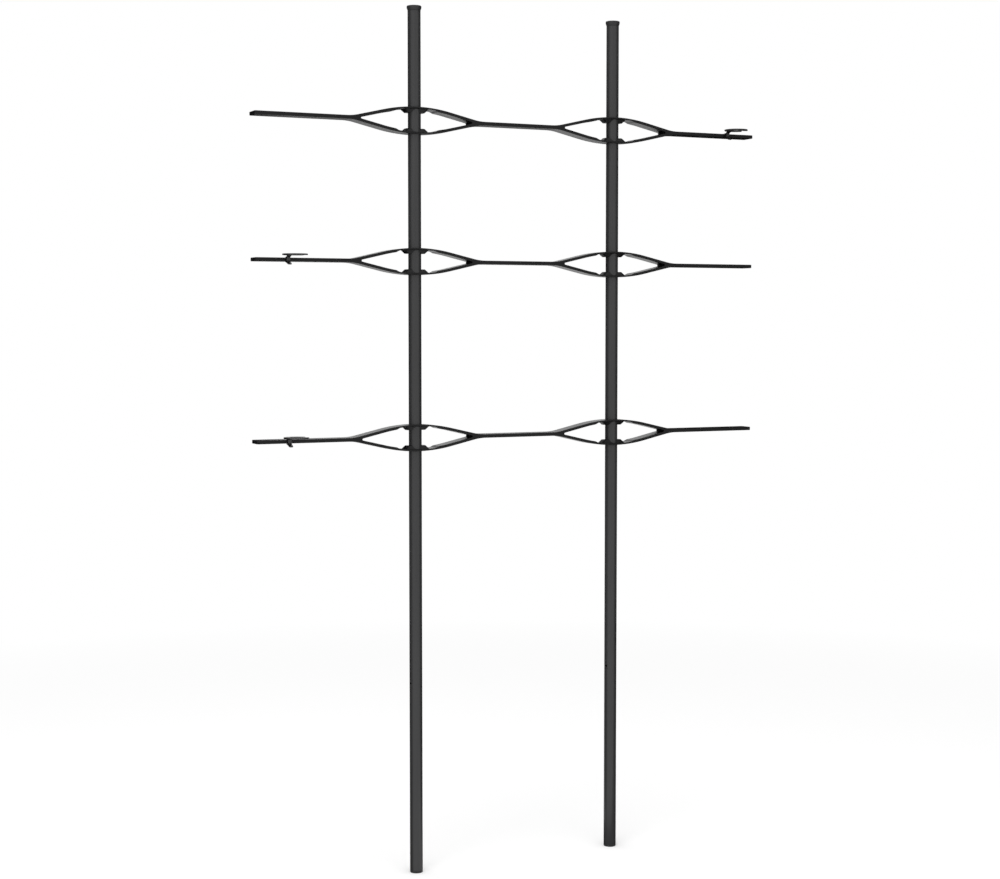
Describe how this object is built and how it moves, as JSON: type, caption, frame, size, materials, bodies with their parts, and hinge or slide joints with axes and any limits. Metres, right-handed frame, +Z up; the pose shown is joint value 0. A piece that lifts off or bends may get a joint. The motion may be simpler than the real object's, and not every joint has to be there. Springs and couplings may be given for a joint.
{
  "type": "planter trellis",
  "caption": "Planter trellis: round posts carry sliding crossbars that widen into leaf-shaped eyes round each post, with plant clips that hold stems in open rings.",
  "frame": {"origin": "on the surface of the soil's base level at the bottom of the posts, midway between the two post axes", "axes": "+Z up along the posts, +X along the crossbars to the right as seen from the front, -Y towards the front, where the plant clips stand out"},
  "size_m": [0.75, 0.0594, 1.1658],
  "materials": {
    "anthracite_tube": "satin anthracite coating",
    "charcoal_closure": "matte charcoal, moulded",
    "black_bar": "satin black, moulded",
    "black_clip": "satin black, moulded"
  },
  "bodies": {
    "posts": {"post_left": "anthracite_tube", "post_right": "anthracite_tube", "top_cap_left": "charcoal_closure", "top_cap_right": "charcoal_closure", "bottom_plug_left": "charcoal_closure", "bottom_plug_right": "charcoal_closure"},
    "crossbar_top": {"crossbar_top": "black_bar"},
    "plant_clip_top": {"plant_clip_top": "black_clip"},
    "crossbar_middle": {"crossbar_middle": "black_bar"},
    "plant_clip_middle": {"plant_clip_middle": "black_clip"},
    "crossbar_bottom": {"crossbar_bottom": "black_bar"},
    "plant_clip_bottom": {"plant_clip_bottom": "black_clip"}
  },
  "joints": [
    {"name": "crossbar_top_slide", "type": "slide", "parent": "posts", "child": "crossbar_top", "axis": [0, 0, 1], "range_m": [-0.075, 0.12]},
    {"name": "crossbar_middle_slide", "type": "slide", "parent": "posts", "child": "crossbar_middle", "axis": [0, 0, 1], "range_m": [-0.095, 0.073]},
    {"name": "crossbar_bottom_slide", "type": "slide", "parent": "posts", "child": "crossbar_bottom", "axis": [0, 0, 1], "range_m": [-0.3, 0.095]},
    {"name": "plant_clip_top_slide", "type": "slide", "parent": "crossbar_top", "child": "plant_clip_top", "axis": [1, 0, 0], "range_m": [-0.075, 0.04]},
    {"name": "plant_clip_middle_slide", "type": "slide", "parent": "crossbar_middle", "child": "plant_clip_middle", "axis": [1, 0, 0], "range_m": [-0.037, 0.078]},
    {"name": "plant_clip_bottom_slide", "type": "slide", "parent": "crossbar_bottom", "child": "plant_clip_bottom", "axis": [1, 0, 0], "range_m": [-0.037, 0.078]}
  ]
}
